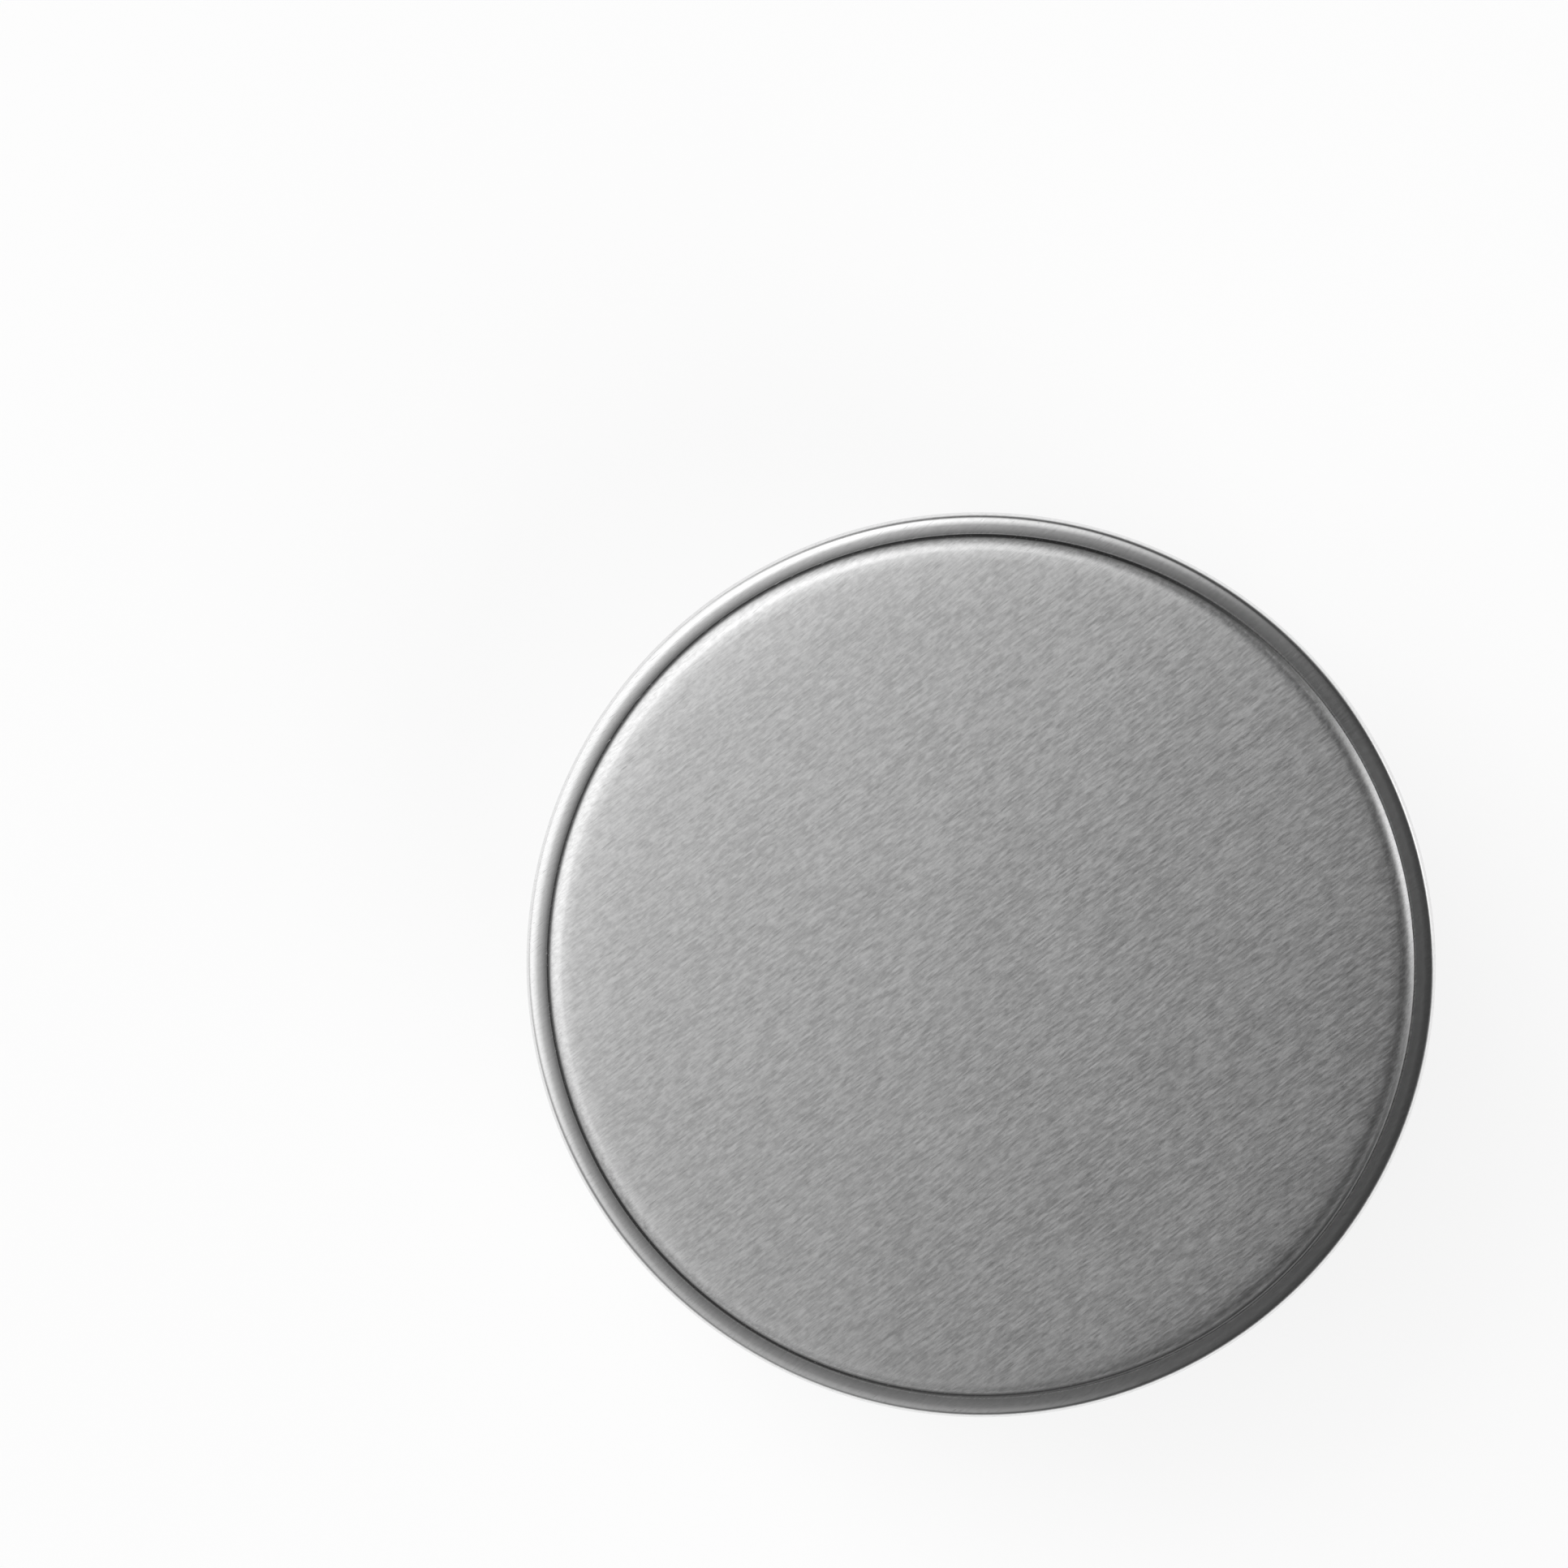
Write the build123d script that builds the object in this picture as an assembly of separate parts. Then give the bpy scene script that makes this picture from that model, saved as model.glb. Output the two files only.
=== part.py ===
"""Round slip-lid mint tin in thin tinplate, with loose disc mints in its base.

The base and the lid are each drawn from one disc of sheet, so both are bodies of revolution about Z.
The origin is at the centre of the ring that the tin stands on, +Z is up, and sizes are in millimetres.
"""
import os
from math import acos, ceil, cos, degrees, radians, sin, tan

from build123d import *

# Sheet metal
sheet = 0.22            # thickness of the tinplate
flat_error = 0.055      # how far the flats that follow a bend may lie from its true arc

# Base
body_radius = 30.0      # outside of the base's wall
base_height = 18.7      # from the foot to the top of the rolled mouth
corner_radius = 1.5     # outside of the bend from the wall to the foot
foot_width = 2.0        # flat of the ring that the tin stands on
bottom_rise = 0.6       # how far the bottom is pressed up inside that ring
rise_angle = 45.0       # slope of the step between them, in degrees
mouth_roll = 0.58       # radius of the rolled edge, which turns inwards

# Lid
lid_clearance = 0.12    # gap all round the base's wall
seat_gap = 0.05         # left between the rolled mouth and the lid that rests on it
skirt_depth = 8.8       # from the ledge round the panel down to the bottom of the hem
hem_roll = 0.35         # radius of the hem, which turns outwards
rim_bend = 0.62         # outside of the bend from the rim's crown down to the skirt
crown_bend = 2.0        # outside of the gentle crown between the ledge and that bend
crown_turn = 10.0       # how far the crown turns, in degrees
ledge_width = 0.56      # flat of the ledge, between the crown and the groove
groove_bend = 0.2       # inside of the bend at the foot of the shoulder
shoulder_bend = 1.85    # outside of the bend from the panel down to the groove
shoulder_turn = 42.0    # how far that bend turns, in degrees

# Mints
mint_radius = 7.8
mint_thickness = 3.75
mint_gap = 2.4          # between the middle mint and the ring of mints round it
layer_gap = 0.02        # between a mint and what it lies on
ring_count = 5          # mints in the ring
top_after = (0, 2)      # each mint on top lies between this mint of the ring and the next
top_share = 0.6         # and this far out, as a share of the ring's radius
stray_share = 0.4       # how far a mint strays from its even place, as a share of the gap
golden_angle = 137.5    # degrees


def arc_points(centre, radius, start, end):
    """Points of the equal flats that follow an arc, from one angle to another, in degrees."""
    widest_flat = 2 * degrees(acos(max(0, 1 - flat_error / radius)))
    flats = ceil(abs(end - start) / widest_flat)
    angles = [radians(start + (end - start) * i / flats) for i in range(flats + 1)]
    return [(centre[0] + radius * cos(a), centre[1] + radius * sin(a)) for a in angles]


def rolled_edge(centre, radius, start, far_side):
    """Section of a tightly rolled edge, from the side of the sheet that it starts on to the far side.

    The roll is a full round. It leaves one side of the sheet as a tangent at the start angle, turns
    to the left, and ends where it meets the sheet's far side, at that radius from Z. It is drawn one
    quarter at a time, so that it keeps its full width and height.
    """
    closing = degrees(acos(abs(far_side - centre[0]) / radius))
    stops = [start, start + 90, start + 180, start + 270, start + 360 - closing]
    points = arc_points(centre, radius, *stops[:2])
    for quarter in zip(stops[1:], stops[2:]):
        points += arc_points(centre, radius, *quarter)[1:]
    return points


def turned(outline):
    """The solid that a section, given as points of radius and height, sweeps round Z."""
    return revolve(Plane.XZ * make_face(Polyline(*outline, close=True)), Axis.Z)


def tin_base():
    """Flat cup with a pressed-up bottom and an edge rolled inwards at the mouth."""
    wall_inside = body_radius - sheet
    foot_outside = body_radius - corner_radius
    step_outside = foot_outside - foot_width
    step_inside = step_outside - bottom_rise / tan(radians(rise_angle))
    upper_shift = sheet * tan(radians(rise_angle) / 2)
    corner = (foot_outside, corner_radius)
    roll = (body_radius - mouth_roll, base_height - mouth_roll)
    outline = [
        (0, bottom_rise),
        (step_inside, bottom_rise),
        (step_outside, 0),
        *arc_points(corner, corner_radius, -90, 0),
        *rolled_edge(roll, mouth_roll, 0, wall_inside),
        *arc_points(corner, corner_radius - sheet, 0, -90),
        (step_outside + upper_shift, sheet),
        (step_inside + upper_shift, bottom_rise + sheet),
        (0, bottom_rise + sheet),
    ]
    return turned(outline)


def tin_lid():
    """Slip lid: a hemmed skirt, a crowned rim over the base's mouth, a ledge, a groove and a raised panel."""
    skirt_inside = body_radius + lid_clearance
    skirt_outside = skirt_inside + sheet
    ledge_top = base_height + seat_gap + sheet

    hem = (skirt_inside + hem_roll, ledge_top - skirt_depth + hem_roll)
    joining = 90 - crown_turn
    inward = (crown_bend - rim_bend) * cos(radians(joining))
    upward = (crown_bend - rim_bend) * sin(radians(joining))
    crown = (skirt_outside - rim_bend - inward, ledge_top - crown_bend)
    rim = (crown[0] + inward, crown[1] + upward)
    groove = (crown[0] - ledge_width, ledge_top + groove_bend)
    meeting = 90 - shoulder_turn
    apart = shoulder_bend + groove_bend
    shoulder = (groove[0] - apart * cos(radians(meeting)), groove[1] - apart * sin(radians(meeting)))
    panel_top = shoulder[1] + shoulder_bend
    outline = [
        (0, panel_top),
        *arc_points(shoulder, shoulder_bend, 90, meeting),
        *arc_points(groove, groove_bend, 180 + meeting, 270)[1:],
        *arc_points(crown, crown_bend, 90, joining),
        *arc_points(rim, rim_bend, joining, 0)[1:],
        *reversed(rolled_edge(hem, hem_roll, 180, skirt_outside)),
        *arc_points(rim, rim_bend - sheet, 0, joining),
        *arc_points(crown, crown_bend - sheet, joining, 90)[1:],
        *arc_points(groove, groove_bend + sheet, 270, 180 + meeting),
        *arc_points(shoulder, shoulder_bend - sheet, meeting, 90)[1:],
        (0, panel_top - sheet),
    ]
    return turned(outline)


def mint_places():
    """Centre of each mint's underside: one in the middle, a ring round it, and a few on top.

    Each strays a little from its even place, and the way it strays turns by a golden angle.
    """
    ring_radius = 2 * mint_radius + mint_gap
    low = bottom_rise + sheet + layer_gap
    high = low + mint_thickness + layer_gap
    even = [(0, 0, low)]
    even += [(ring_radius, i / ring_count, low) for i in range(ring_count)]
    even += [(ring_radius * top_share, (i + 0.5) / ring_count, high) for i in top_after]
    places = []
    for i, (distance, turn_share, height) in enumerate(even):
        stray = Vector(stray_share * mint_gap, 0).rotate(Axis.Z, i * golden_angle)
        places.append(Vector(distance, 0, height).rotate(Axis.Z, 360 * turn_share) + stray)
    return places


def mint():
    """A plain disc that lies on the origin."""
    return Cylinder(mint_radius, mint_thickness, align=(Align.CENTER, Align.CENTER, Align.MIN))


parts = {"tin_base": tin_base(), "tin_lid": tin_lid()}
for number, place in enumerate(mint_places(), start=1):
    parts[f"mint_{number:02d}"] = Pos(place) * mint()

os.makedirs("parts", exist_ok=True)
for node, shape in parts.items():
    export_step(shape, f"parts/{node}.step")
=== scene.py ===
"""Looks of a round slip-lid mint tin in bare tinplate, and of the pressed mints that lie in its base.

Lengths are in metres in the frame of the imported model: +Z is up and the origin is the centre of the foot.
"""

from math import acos, asin, atan2, ceil, cos, degrees, hypot, pi, radians, sin, tan

import bpy
from mathutils import Euler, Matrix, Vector, noise


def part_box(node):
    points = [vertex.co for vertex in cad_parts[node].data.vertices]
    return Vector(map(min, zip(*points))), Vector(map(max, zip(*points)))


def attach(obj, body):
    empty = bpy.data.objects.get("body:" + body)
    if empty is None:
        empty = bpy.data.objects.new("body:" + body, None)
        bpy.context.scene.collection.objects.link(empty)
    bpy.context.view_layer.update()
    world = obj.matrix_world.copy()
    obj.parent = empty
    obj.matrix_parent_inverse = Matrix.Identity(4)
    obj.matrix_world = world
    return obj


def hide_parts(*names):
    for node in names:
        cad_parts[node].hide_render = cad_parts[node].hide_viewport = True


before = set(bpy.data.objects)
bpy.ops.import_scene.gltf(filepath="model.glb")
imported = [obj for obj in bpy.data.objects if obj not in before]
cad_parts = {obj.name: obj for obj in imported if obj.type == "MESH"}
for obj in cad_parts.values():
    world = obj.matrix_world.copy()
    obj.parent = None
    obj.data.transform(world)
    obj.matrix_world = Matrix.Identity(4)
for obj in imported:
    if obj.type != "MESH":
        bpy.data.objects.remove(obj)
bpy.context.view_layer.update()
mm = 0.001

# Sheet metal
sheet = 0.22 * mm
arc_step = 5.0                  # the widest flat along a bend, in degrees
flat_steps = 8                  # rings that divide a flat middle
lathe_segments = 288
crease = radians(30)            # a bend sharper than this is shaded as an edge

# Sizes of the base that its box doesn't give
base_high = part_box("tin_base")[1]
body_radius = base_high.x
base_height = base_high.z
corner_radius = 1.5 * mm
foot_width = 2.0 * mm
bottom_rise = 0.6 * mm
rise_angle = 45.0
step_bend = 0.3 * mm            # the pressed step's two bends are softened to this
mouth_roll = 0.58 * mm

# Sizes of the lid that its box doesn't give
lid_low, lid_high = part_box("tin_lid")
panel_top = lid_high.z
hem_bottom = lid_low.z
lid_clearance = 0.12 * mm
seat_gap = 0.05 * mm
rim_bend = 0.62 * mm
crown_bend = 2.0 * mm
crown_turn = 10.0
ledge_width = 0.56 * mm
groove_bend = 0.2 * mm
shoulder_bend = 1.85 * mm
easing_bend = 8.0 * mm          # the gentle start of the shoulder
easing_turn = 5.0

# Mints
mint_segments = 128
mint_steps = 12                 # rings that divide a mint's flat
mint_edge = 0.28 * mm
worn_share = 0.9                # share of the radius where the wear of the edge begins
nick_size = 0.9 * mm
nick_depth = 0.16 * mm
nick_threshold = 0.25           # noise above this is a nick
swell_size = 5 * mm
swell_depth = 0.02 * mm

# Pressed sugar
sugar_cloud_size = 2.5 * mm
sugar_grit_size = 0.12 * mm
sugar_grit_depth = 0.02 * mm
sugar_grit_strength = 0.6
sugar_shades = ((0.84, 0.84, 0.83, 1), (0.88, 0.88, 0.87, 1))
sugar_roughness = (0.78, 0.92)
speck_spacing = 1.1 * mm
speck_radius_share = 0.07       # radius of a speck, as a share of that spacing
blank_share = 0.9               # share of the places that have no speck
speck_shade = 0.25

# Grain of the rolled sheet: how long and how wide its features are
grain_angle = radians(37)
grain_size = (0.9 * mm, 0.12 * mm)
mottle_size = (0.42 * mm, 0.28 * mm)
scratch_size = (1.1 * mm, 0.07 * mm)
draw_mark_size = (9 * mm, 0.25 * mm)
cloud_size = 9 * mm
relief_depth = 0.006 * mm
grain_share = 0.6               # share of the relief that is grain, and the rest is mottle
noise_span = (0.3, 0.7)         # nearly all values of the noise lie between these
scratch_span = (0.24, 0.36)     # noise is a full scratch below the first, and none above the second
scratch_strength = 0.5

# Where the tools burnished the sheet, by radius, and where the drawn walls begin to darken with painted
# shade that dims their reflection of the floor, by height
burnish_start = 28.7 * mm
burnish_end = 29.1 * mm
shaded_walls_start = 18.6 * mm
shaded_walls_end = 17.4 * mm

# Finish of the sheet, on the flats and where it is burnished
relief_strengths = (0.8, 0.15)
plain_roughness = (0.37, 0.22)
grain_roughness = (0.3, 0.05)
streak_contrasts = (1.0, 0.35)
cloud_roughness = 0.06

# Shades of the sheet, the darker first
flat_shades = (0.68, 0.96)
# painted shade on the drawn walls, which dims their reflection of the floor; the draw marks vary it
shaded_wall_tones = (0.54, 0.63)
scratch_shade = 0.45
# painted shade in the groove's crease
painted_crease_shade = 0.05

# Painted shade in the lid's groove, darkest in the crease at the foot of the shoulder
crease_shade_ring = (28.72 * mm, 19.06 * mm)       # its radius and height
crease_shade_centre = (-0.08 * mm, 0.05 * mm)      # a little off the axis
crease_shade_reach = 0.34 * mm
crease_shade_strength = 1.4            # above 1, the middle of the ring is evenly shaded
unshaded_side = radians(14)        # azimuth of the side left without painted shade, where the crease catches a reflection
unshaded_sharpness = 8             # the higher, the narrower that side

# The photograph, in its own pixels
photo_size = 1932
lid_centre_px = (1203.0, 1192.0)
focal_px = 3543.0

# Camera
camera_distance = 192.8 * mm    # from the top of the base
camera_tilt = radians(5.5)
sensor_width = 36.0             # in the millimetres that a camera's settings use

# Floor, and the low wall that it curves up to
floor_gap = 0.02 * mm           # keeps the foot clear of the floor's own surface
floor_segments = 96
floor_steps = 6
floor_radius = 0.9
floor_bend = 0.1
floor_height = 0.12             # top of that wall
floor_shade = 0.95
floor_roughness = 0.9
floor_gloss = 0.1
background_share = 0.82         # how much of the background's white doesn't depend on the light

# Lamps that light matt surfaces, by azimuth from +X to +Y, in degrees
fill_azimuths = {"front_fill": -45, "back_fill": 135}
fill_elevation = 36
fill_distance = 0.9
fill_width = 0.6
fill_radiance = 2.9

# The room that the metal mirrors: paler towards the left, and low down, where its walls are
room_lean = (-0.8, 0.05, 0)
room_span = (-0.3, 0.5)         # how far a direction leans that way at the darkest and at the palest
room_shades = (0.05, 0.2)
wall_span = (0.1, 0.5)          # how far it points up where the walls begin to fade and where they end
wall_shade = 0.3

# Round soft lights that the metal mirrors: azimuth, elevation, outer and inner angle, and radiance
soft_lights = [
    (158, 46, 46, 22, 1.0),
    (96, 61, 26, 8, 0.85),
    (-112, 52, 27, 8, 0.3),
    (12, 8, 22, 8, 1.3),
]


def arc(centre, radius, start, end):
    """Points of an arc from one angle to another, in degrees."""
    flats = max(1, ceil(abs(end - start) / arc_step))
    angles = [radians(start + (end - start) * i / flats) for i in range(flats + 1)]
    return [(centre[0] + radius * cos(a), centre[1] + radius * sin(a)) for a in angles]


def rolled_edge(centre, radius, start, far_side):
    """Section of a rolled edge: a full round that ends where it meets the sheet's far side."""
    closing = degrees(acos(abs(far_side - centre[0]) / radius))
    return arc(centre, radius, start, start + 360 - closing)


def flat_rings(inner, outer, height, count):
    """Points that divide a flat ring of the section, from its inner radius to just short of its outer."""
    return [(inner + (outer - inner) * i / count, height) for i in range(count)]


def softened(before, corner, after, bend):
    """Points of an arc of radius bend that rounds the corner between two straight runs of the section."""
    into = (Vector(corner) - Vector(before)).normalized()
    out = (Vector(after) - Vector(corner)).normalized()
    turn = into.angle_signed(out)
    side = Vector((into.y, -into.x)) if turn > 0 else Vector((-into.y, into.x))
    start = Vector(corner) - into * bend * tan(abs(turn) / 2)
    centre = start + side * bend
    spoke = start - centre
    first = degrees(atan2(spoke.y, spoke.x))
    return arc(centre, bend, first, first - degrees(turn))


def lathe(name, outline, segments):
    """Mesh object that a section, given as points of radius and height, sweeps round Z."""
    vertices, rings = [], []
    for radius, height in outline:
        count = segments if radius > 0 else 1
        rings.append(range(len(vertices), len(vertices) + count))
        turns = [2 * pi * i / segments for i in range(count)]
        vertices += [(radius * cos(turn), radius * sin(turn), height) for turn in turns]
    faces = []
    for first, second in zip(rings, rings[1:]):
        for i in range(segments):
            j = (i + 1) % segments
            corners = [first[i % len(first)], second[i % len(second)],
                       second[j % len(second)], first[j % len(first)]]
            faces.append(list(dict.fromkeys(corners)))
    mesh = bpy.data.meshes.new(name)
    mesh.from_pydata(vertices, [], faces)
    mesh.shade_smooth()
    mesh.set_sharp_from_angle(angle=crease)
    piece = bpy.data.objects.new(name, mesh)
    bpy.context.scene.collection.objects.link(piece)
    return piece


def lid_outline():
    """Section of the lid: panel, shoulder, groove, ledge, rim and hemmed skirt, and back underneath."""
    skirt_inside = body_radius + lid_clearance
    skirt_outside = skirt_inside + sheet
    ledge_top = base_height + seat_gap + sheet
    hem_roll = (lid_high.x - skirt_inside) / 2
    hem = (skirt_inside + hem_roll, hem_bottom + hem_roll)
    joining = 90 - crown_turn
    inward = (crown_bend - rim_bend) * cos(radians(joining))
    upward = (crown_bend - rim_bend) * sin(radians(joining))
    crown = (skirt_outside - rim_bend - inward, ledge_top - crown_bend)
    rim = (crown[0] + inward, crown[1] + upward)
    groove = (crown[0] - ledge_width, ledge_top + groove_bend)
    parting = 90 - easing_turn
    back = (easing_bend - shoulder_bend) * cos(radians(parting))
    down = (easing_bend - shoulder_bend) * sin(radians(parting))
    apart = shoulder_bend + groove_bend
    shoulder_height = panel_top - easing_bend + down
    meeting = degrees(asin((groove[1] - shoulder_height) / apart))
    shoulder = (groove[0] - apart * cos(radians(meeting)), shoulder_height)
    easing = (shoulder[0] - back, shoulder_height - down)
    return [
        *flat_rings(0, easing[0], panel_top, flat_steps),
        *arc(easing, easing_bend, 90, parting),
        *arc(shoulder, shoulder_bend, parting, meeting)[1:],
        *arc(groove, groove_bend, 180 + meeting, 270)[1:],
        *arc(crown, crown_bend, 90, joining),
        *arc(rim, rim_bend, joining, 0)[1:],
        *reversed(rolled_edge(hem, hem_roll, 180, skirt_outside)),
        *arc(rim, rim_bend - sheet, 0, joining),
        *arc(crown, crown_bend - sheet, joining, 90)[1:],
        *arc(groove, groove_bend + sheet, 270, 180 + meeting),
        *arc(shoulder, shoulder_bend - sheet, meeting, parting)[1:],
        *arc(easing, easing_bend - sheet, parting, 90)[1:],
        *reversed(flat_rings(0, easing[0], panel_top - sheet, flat_steps)),
    ]


def base_outline():
    """Section of the base: from the middle of its underside out, up to the mouth, and back down inside."""
    wall_inside = body_radius - sheet
    foot_outside = body_radius - corner_radius
    step_outside = foot_outside - foot_width
    step_inside = step_outside - bottom_rise / tan(radians(rise_angle))
    upper_shift = sheet * tan(radians(rise_angle) / 2)
    corner = (foot_outside, corner_radius)
    roll = (body_radius - mouth_roll, base_height - mouth_roll)
    under = [(0, bottom_rise), (step_inside, bottom_rise), (step_outside, 0), (foot_outside, 0)]
    upper = [(foot_outside, sheet), (step_outside + upper_shift, sheet),
             (step_inside + upper_shift, bottom_rise + sheet), (0, bottom_rise + sheet)]
    middle = step_inside - step_bend
    return [
        *flat_rings(0, middle, bottom_rise, flat_steps),
        *softened(*under[:3], step_bend),
        *softened(*under[1:], step_bend + sheet),
        *arc(corner, corner_radius, -90, 0),
        *rolled_edge(roll, mouth_roll, 0, wall_inside),
        *arc(corner, corner_radius - sheet, 0, -90),
        *softened(*upper[:3], step_bend),
        *softened(*upper[1:], step_bend + sheet),
        *reversed(flat_rings(0, middle, bottom_rise + sheet, flat_steps)),
    ]


def mint_disc(name, node):
    """A pressed mint in its node's place: a flat disc with softened, slightly nicked edges."""
    low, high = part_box(node)
    centre = (low + high) / 2
    radius = (high.x - low.x) / 2
    half = (high.z - low.z) / 2
    inner = radius - mint_edge
    outline = [
        *flat_rings(0, inner, -half, mint_steps),
        *arc((inner, mint_edge - half), mint_edge, -90, 0),
        *arc((inner, half - mint_edge), mint_edge, 0, 90),
        *reversed(flat_rings(0, inner, half, mint_steps)),
    ]
    disc = lathe(name, outline, mint_segments)
    for vertex in disc.data.vertices:
        spot = centre + vertex.co
        out = hypot(vertex.co.x, vertex.co.y) / radius
        wear = max(0, out - worn_share) / (1 - worn_share)
        nick = max(0, noise.noise(spot / nick_size) - nick_threshold) * nick_depth
        swell = abs(noise.noise(spot / swell_size)) * swell_depth
        vertex.co = spot - vertex.co.normalized() * (nick + swell) * wear
    return disc


def material(name):
    """New material, with its node tree and its Principled shader."""
    made = bpy.data.materials.new(name)
    made.use_nodes = True
    return made, made.node_tree, made.node_tree.nodes["Principled BSDF"]


def add(tree, kind, **settings):
    """New node of a kind, with its properties set by name."""
    node = tree.nodes.new(kind)
    for key, value in settings.items():
        setattr(node, key, value)
    return node


def feed(tree, source, *sockets):
    """Links one output to several inputs."""
    for socket in sockets:
        tree.links.new(source, socket)


def blend(tree, factor, first, second):
    """Output of a mix from the first colour to the second. Each is a shade of grey or an output."""
    node = add(tree, "ShaderNodeMix", data_type="RGBA")
    feed(tree, factor, node.inputs["Factor"])
    for name, term in (("A", first), ("B", second)):
        if isinstance(term, float):
            node.inputs[name].default_value = (term, term, term, 1)
        else:
            feed(tree, term, node.inputs[name])
    return node.outputs["Result"]


def calc(tree, operation, *terms):
    """Output of a Math node. Each term is a number or an output."""
    node = add(tree, "ShaderNodeMath", operation=operation)
    for socket, term in zip(node.inputs, terms):
        if isinstance(term, (int, float)):
            socket.default_value = term
        else:
            feed(tree, term, socket)
    return node.outputs[0]


def ramp(tree, value, low, high, from_value, to_value):
    """Output that goes smoothly from one value to another as its input goes from low to high."""
    node = add(tree, "ShaderNodeMapRange", interpolation_type="SMOOTHSTEP")
    ends = {"From Min": low, "From Max": high, "To Min": from_value, "To Max": to_value}
    for name, number in ends.items():
        node.inputs[name].default_value = number
    feed(tree, value, node.inputs["Value"])
    return node.outputs[0]


def texture(tree, kind, vector, scale, **inputs):
    """New noise or Voronoi texture. Its other inputs are given by name, with _ for a space."""
    node = add(tree, kind)
    feed(tree, vector, node.inputs["Vector"])
    node.inputs["Scale"].default_value = scale
    for name, number in inputs.items():
        node.inputs[name.replace("_", " ")].default_value = number
    return node


def scaled(tree, vector, *sizes):
    """Coordinates for a texture of scale 1 whose features have these sizes along X, Y and Z."""
    node = add(tree, "ShaderNodeMapping", vector_type="POINT")
    node.inputs["Scale"].default_value = [1 / size for size in sizes]
    feed(tree, vector, node.inputs["Vector"])
    return node.outputs[0]


def rolled_noise(tree, place, size, detail):
    """Noise whose features lie along the grain, with a size of how long and how wide they are."""
    turned = add(tree, "ShaderNodeMapping", vector_type="POINT")
    turned.inputs["Rotation"].default_value = (0, 0, -grain_angle)
    feed(tree, place, turned.inputs["Vector"])
    length, width = size
    along = scaled(tree, turned.outputs[0], length, width, width)
    return texture(tree, "ShaderNodeTexNoise", along, 1.0, **detail).outputs["Fac"]


def tinplate():
    """Bare tinplate: rolled grain in one direction on the flats, burnished where the tools bent it."""
    made, tree, shader = material("tinplate")
    place = add(tree, "ShaderNodeTexCoord").outputs["Object"]
    split = add(tree, "ShaderNodeSeparateXYZ")
    feed(tree, place, split.inputs[0])
    squares = [calc(tree, "POWER", split.outputs[axis], 2.0) for axis in ("X", "Y")]
    radius = calc(tree, "SQRT", calc(tree, "ADD", *squares))
    burnish = ramp(tree, radius, burnish_start, burnish_end, 0.0, 1.0)

    fine = {"Detail": 3.0, "Roughness": 0.6}
    grain = rolled_noise(tree, place, grain_size, fine)
    mottle = rolled_noise(tree, place, mottle_size, fine)
    clouds = texture(tree, "ShaderNodeTexNoise", place, 1 / cloud_size, Detail=3.0).outputs["Fac"]
    grain_part = calc(tree, "MULTIPLY", grain, grain_share)
    mottle_part = calc(tree, "MULTIPLY", mottle, 1 - grain_share)
    relief = calc(tree, "ADD", grain_part, mottle_part)
    bump = add(tree, "ShaderNodeBump")
    bump.inputs["Distance"].default_value = relief_depth
    feed(tree, relief, bump.inputs["Height"])
    feed(tree, ramp(tree, burnish, 0.0, 1.0, *relief_strengths), bump.inputs["Strength"])
    feed(tree, bump.outputs[0], shader.inputs["Normal"])

    plain = ramp(tree, burnish, 0.0, 1.0, *plain_roughness)
    swing = ramp(tree, burnish, 0.0, 1.0, *grain_roughness)
    uneven = calc(tree, "MULTIPLY", calc(tree, "SUBTRACT", grain, 0.5), swing)
    worn = calc(tree, "MULTIPLY", calc(tree, "SUBTRACT", clouds, 0.5), cloud_roughness)
    roughness = calc(tree, "ADD", plain, calc(tree, "ADD", uneven, worn))
    feed(tree, roughness, shader.inputs["Roughness"])

    contrast = ramp(tree, burnish, 0.0, 1.0, *streak_contrasts)
    streaks = calc(tree, "SUBTRACT", ramp(tree, relief, *noise_span, 0.0, 1.0), 0.5)
    streaks = calc(tree, "ADD", calc(tree, "MULTIPLY", streaks, contrast), 0.5)
    colour = blend(tree, streaks, *flat_shades)

    mark_length, mark_width = draw_mark_size
    upright = scaled(tree, place, mark_width, mark_width, mark_length)
    draw_marks = texture(tree, "ShaderNodeTexNoise", upright, 1.0, Detail=4.0, Roughness=0.6).outputs["Fac"]
    # The drawn walls are darker below the rim: painted shade that dims their reflection of the floor,
    # streaked by real draw marks
    shaded_walls = ramp(tree, split.outputs["Z"], shaded_walls_end, shaded_walls_start, 1.0, 0.0)
    colour = blend(tree, shaded_walls, colour, ramp(tree, draw_marks, *noise_span, *shaded_wall_tones))

    # painted shade in the groove's crease, as much as the lid's vertices store
    crease_shade = add(tree, "ShaderNodeAttribute", attribute_name="crease_shade").outputs["Fac"]
    colour = blend(tree, crease_shade, colour, painted_crease_shade)

    scratch = rolled_noise(tree, place, scratch_size, {"Detail": 1.0})
    scratched = ramp(tree, scratch, *scratch_span, scratch_strength, 0.0)
    feed(tree, blend(tree, scratched, colour, scratch_shade), shader.inputs["Base Color"])
    shader.inputs["Metallic"].default_value = 1.0
    return made


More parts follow.
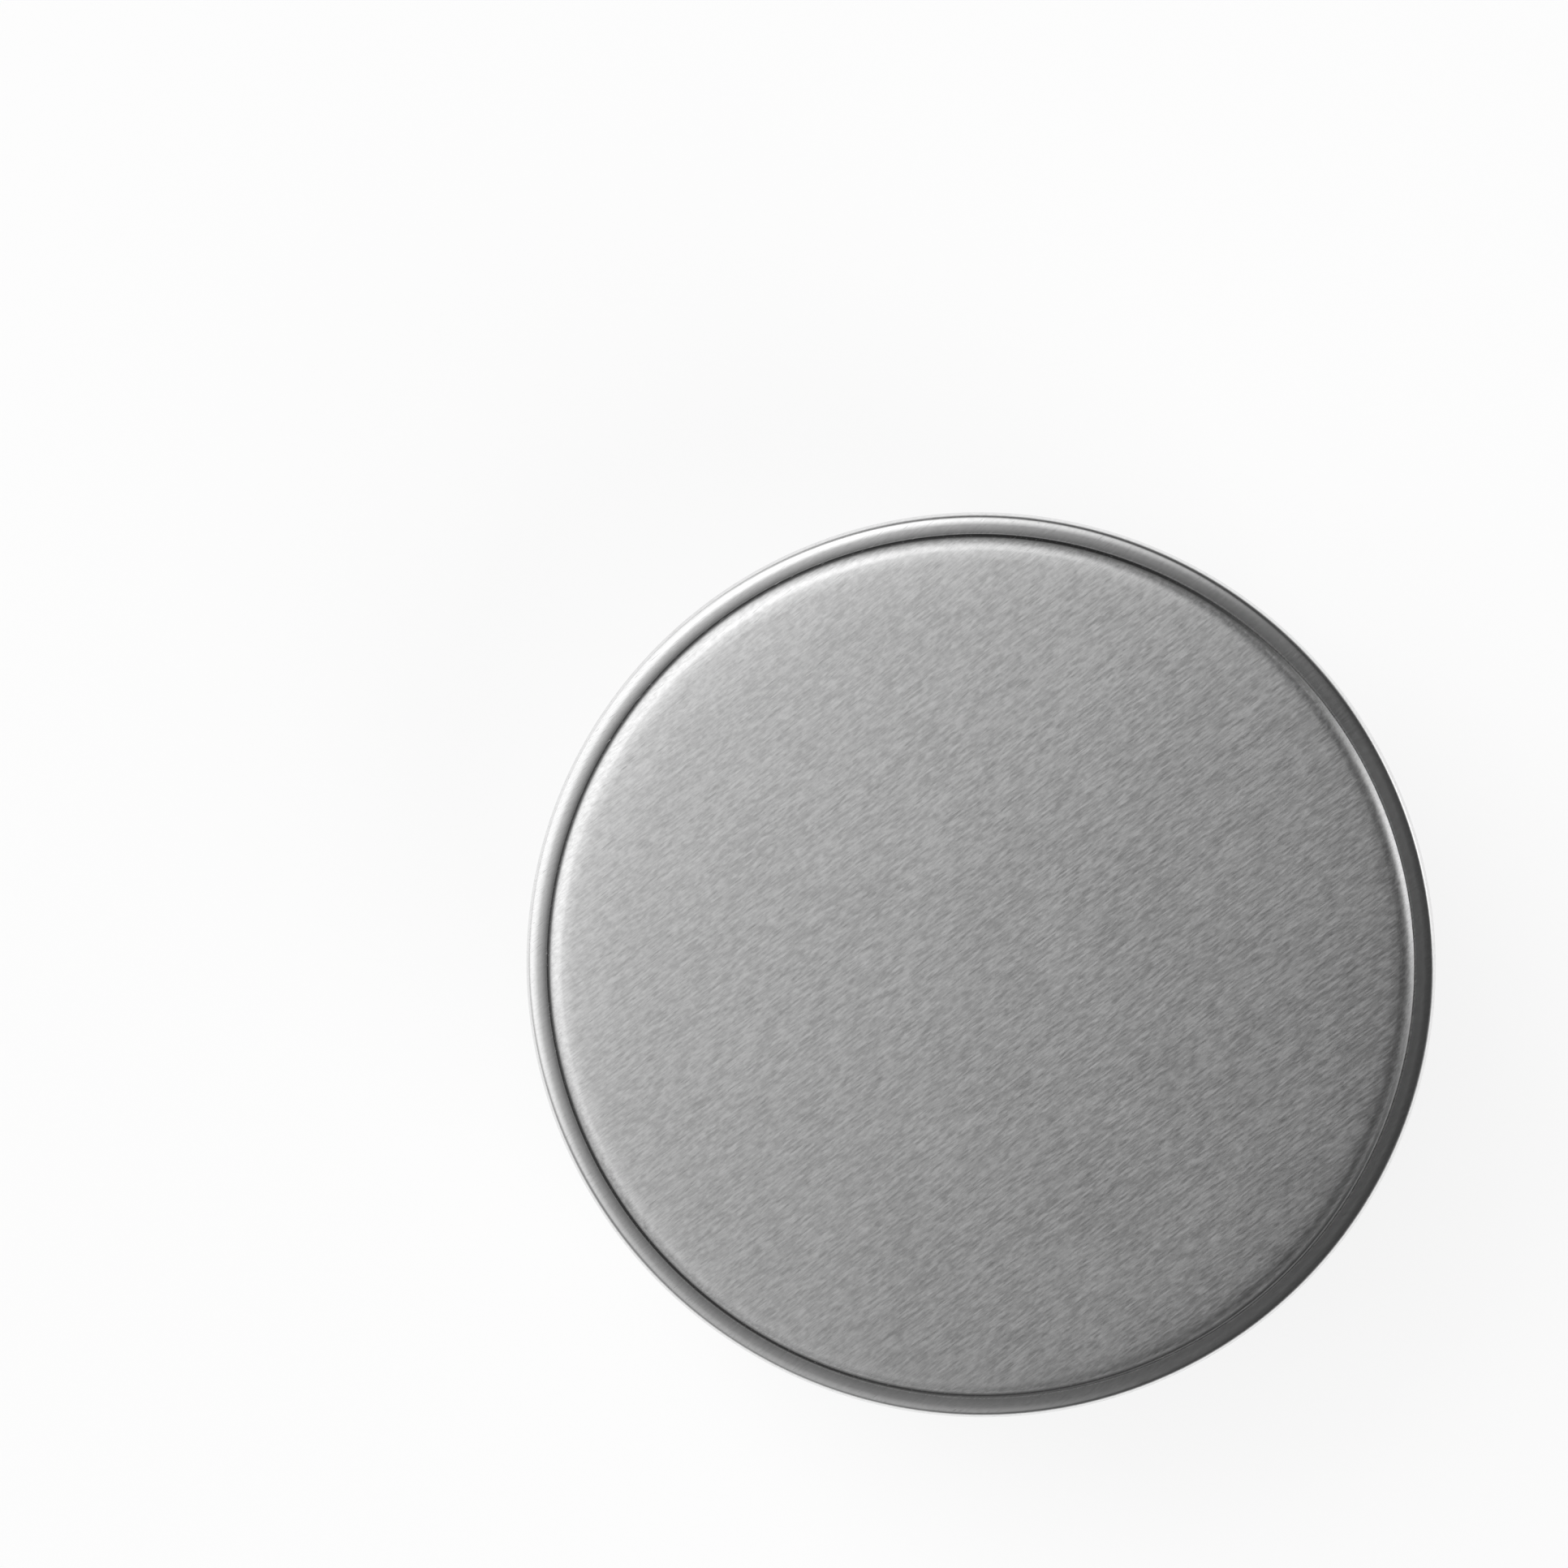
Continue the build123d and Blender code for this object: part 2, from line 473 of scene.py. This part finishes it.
def mint_sugar():
    """Matt pressed tablet: off-white, finely grained, with a few tiny dark specks."""
    made, tree, shader = material("mint")
    place = add(tree, "ShaderNodeTexCoord").outputs["Object"]
    cloud = texture(tree, "ShaderNodeTexNoise", place, 1 / sugar_cloud_size, Detail=4.0).outputs["Fac"]
    grit = texture(tree, "ShaderNodeTexNoise", place, 1 / sugar_grit_size, Detail=3.0).outputs["Fac"]
    cells = texture(tree, "ShaderNodeTexVoronoi", place, 1 / speck_spacing, Randomness=1.0)
    chosen = add(tree, "ShaderNodeSeparateColor")
    feed(tree, cells.outputs["Color"], chosen.inputs[0])
    small = calc(tree, "LESS_THAN", cells.outputs["Distance"], speck_radius_share)
    speck = calc(tree, "MULTIPLY", small, calc(tree, "GREATER_THAN", chosen.outputs[0], blank_share))

    shades = add(tree, "ShaderNodeMix", data_type="RGBA")
    shades.inputs["A"].default_value, shades.inputs["B"].default_value = sugar_shades
    feed(tree, ramp(tree, cloud, *noise_span, 0.0, 1.0), shades.inputs["Factor"])
    feed(tree, blend(tree, speck, shades.outputs["Result"], speck_shade), shader.inputs["Base Color"])

    bump = add(tree, "ShaderNodeBump")
    bump.inputs["Distance"].default_value = sugar_grit_depth
    bump.inputs["Strength"].default_value = sugar_grit_strength
    feed(tree, grit, bump.inputs["Height"])
    feed(tree, bump.outputs[0], shader.inputs["Normal"])
    feed(tree, ramp(tree, grit, *noise_span, *sugar_roughness), shader.inputs["Roughness"])
    return made


def dress(piece, body, slot, finish, *nodes):
    """Gives a piece its material, the body that it rides on and the nodes that it stands for."""
    piece.data.materials.append(finish)
    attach(piece, body)
    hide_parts(*nodes)


def mark_crease_shade(lid):
    """Stores how much painted shade each vertex takes: most in the crease at the foot of the shoulder,
    least on the side where the crease catches a reflection.
    """
    stored = lid.data.attributes.new("crease_shade", "FLOAT", "POINT")
    for vertex, mark in zip(lid.data.vertices, stored.data):
        x, y, z = vertex.co
        across = hypot(x - crease_shade_centre[0], y - crease_shade_centre[1])
        away = hypot(across - crease_shade_ring[0], z - crease_shade_ring[1])
        unshaded = max(0, cos(atan2(y, x) - unshaded_side)) ** unshaded_sharpness
        mark.value = min(1, max(0, 1 - away / crease_shade_reach) * crease_shade_strength) * (1 - unshaded)


def tin():
    """The lid and the base."""
    metal = tinplate()
    lid = lathe("lid_sheet", lid_outline(), lathe_segments)
    mark_crease_shade(lid)
    dress(lid, "lid", "tinplate", metal, "tin_lid")
    dress(lathe("base_sheet", base_outline(), lathe_segments), "base", "tinplate", metal, "tin_base")


def mints():
    """A disc for each mint in the frame."""
    sugar = mint_sugar()
    for node in sorted(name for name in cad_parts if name.startswith("mint_")):
        dress(mint_disc(node.replace("mint", "mint_disc"), node), "base", "mint", sugar, node)


def background_rays(tree):
    """Output that is 1 for camera, glossy and transmission rays, which see the white background."""
    path = add(tree, "ShaderNodeLightPath")
    seen = [path.outputs[name] for name in ("Is Camera Ray", "Is Glossy Ray", "Is Transmission Ray")]
    return calc(tree, "MAXIMUM", calc(tree, "MAXIMUM", *seen[:2]), seen[2])


def backdrop():
    """A white floor that curves up to a low wall all round, so that every view has a white background."""
    flat_radius = floor_radius - floor_bend
    sweep = [
        *flat_rings(0, flat_radius, 0, floor_steps),
        *arc((flat_radius, floor_bend), floor_bend, -90, 0),
        (floor_radius, floor_height),
    ]
    floor = lathe("floor", sweep[::-1], floor_segments)
    floor.location.z = -floor_gap
    made, tree, shader = material("floor")
    shader.inputs["Base Color"].default_value = (floor_shade, floor_shade, floor_shade, 1)
    shader.inputs["Roughness"].default_value = floor_roughness
    shader.inputs["Specular IOR Level"].default_value = floor_gloss
    glow = add(tree, "ShaderNodeEmission")
    mixed = add(tree, "ShaderNodeMixShader")
    feed(tree, calc(tree, "MULTIPLY", background_rays(tree), background_share), mixed.inputs[0])
    feed(tree, shader.outputs[0], mixed.inputs[1])
    feed(tree, glow.outputs[0], mixed.inputs[2])
    feed(tree, mixed.outputs[0], tree.nodes["Material Output"].inputs["Surface"])
    floor.data.materials.append(made)


def direction(azimuth, elevation):
    """Unit vector at an azimuth, which turns from +X towards +Y, and an elevation, in degrees."""
    turn, rise = radians(azimuth), radians(elevation)
    return Vector((cos(turn) * cos(rise), sin(turn) * cos(rise), sin(rise)))


def fill_lamp(name, azimuth):
    """Square soft light that faces the tin and shows in no reflection."""
    away = direction(azimuth, fill_elevation)
    light = bpy.data.lights.new(name, "AREA")
    light.shape = "SQUARE"
    light.size = fill_width
    light.energy = fill_radiance * pi * fill_width ** 2
    holder = bpy.data.objects.new(name, light)
    holder.location = away * fill_distance
    holder.rotation_mode = "QUATERNION"
    holder.rotation_quaternion = away.to_track_quat("Z", "Y")
    holder.visible_glossy = False
    bpy.context.scene.collection.objects.link(holder)


def leaning(tree, way, towards):
    """Output that says how far a direction leans towards a vector."""
    node = add(tree, "ShaderNodeVectorMath", operation="DOT_PRODUCT")
    node.inputs[1].default_value = towards
    feed(tree, way, node.inputs[0])
    return node.outputs["Value"]


def soft_light(tree, way, azimuth, elevation, outer, inner, radiance):
    """Radiance of a round soft light: full up to the inner angle off its middle, none past the outer."""
    near = leaning(tree, way, direction(azimuth, elevation))
    return ramp(tree, near, cos(radians(outer)), cos(radians(inner)), 0.0, radiance)


def studio():
    """Two fill lamps for matt surfaces, and a white room with soft lights for the metal to mirror."""
    for name, azimuth in fill_azimuths.items():
        fill_lamp(name, azimuth)
    world = bpy.data.worlds.new("room")
    bpy.context.scene.world = world
    world.use_nodes = True
    tree = world.node_tree
    way = add(tree, "ShaderNodeTexCoord").outputs["Generated"]
    room = ramp(tree, leaning(tree, way, room_lean), *room_span, *room_shades)
    walls = ramp(tree, leaning(tree, way, (0, 0, 1)), *wall_span, wall_shade, 0.0)
    level = calc(tree, "ADD", room, walls)
    for light in soft_lights:
        level = calc(tree, "ADD", level, soft_light(tree, way, *light))
    seen = add(tree, "ShaderNodeLightPath").outputs["Is Camera Ray"]
    level = calc(tree, "MAXIMUM", level, seen)
    feed(tree, level, tree.nodes["Background"].inputs["Color"])


def camera():
    """Camera over the tin, slightly tilted, and turned so that the lid lies where the photo has it."""
    data = bpy.data.cameras.new("camera")
    data.sensor_width = sensor_width
    data.lens = sensor_width * focal_px / photo_size
    holder = bpy.data.objects.new("camera", data)
    aim = Vector((0, 0, base_height))
    upright = Euler((-camera_tilt, 0, 0)).to_quaternion()
    offset = (lid_centre_px[0] - photo_size / 2, photo_size / 2 - lid_centre_px[1])
    towards_lid = Vector((*offset, -focal_px))
    holder.location = aim + upright @ Vector((0, 0, camera_distance))
    holder.rotation_mode = "QUATERNION"
    holder.rotation_quaternion = upright @ towards_lid.rotation_difference(Vector((0, 0, -1)))
    bpy.context.scene.collection.objects.link(holder)
    bpy.context.scene.camera = holder


camera()
tin()
mints()
backdrop()
studio()
bpy.context.scene.view_settings.view_transform = "Standard"
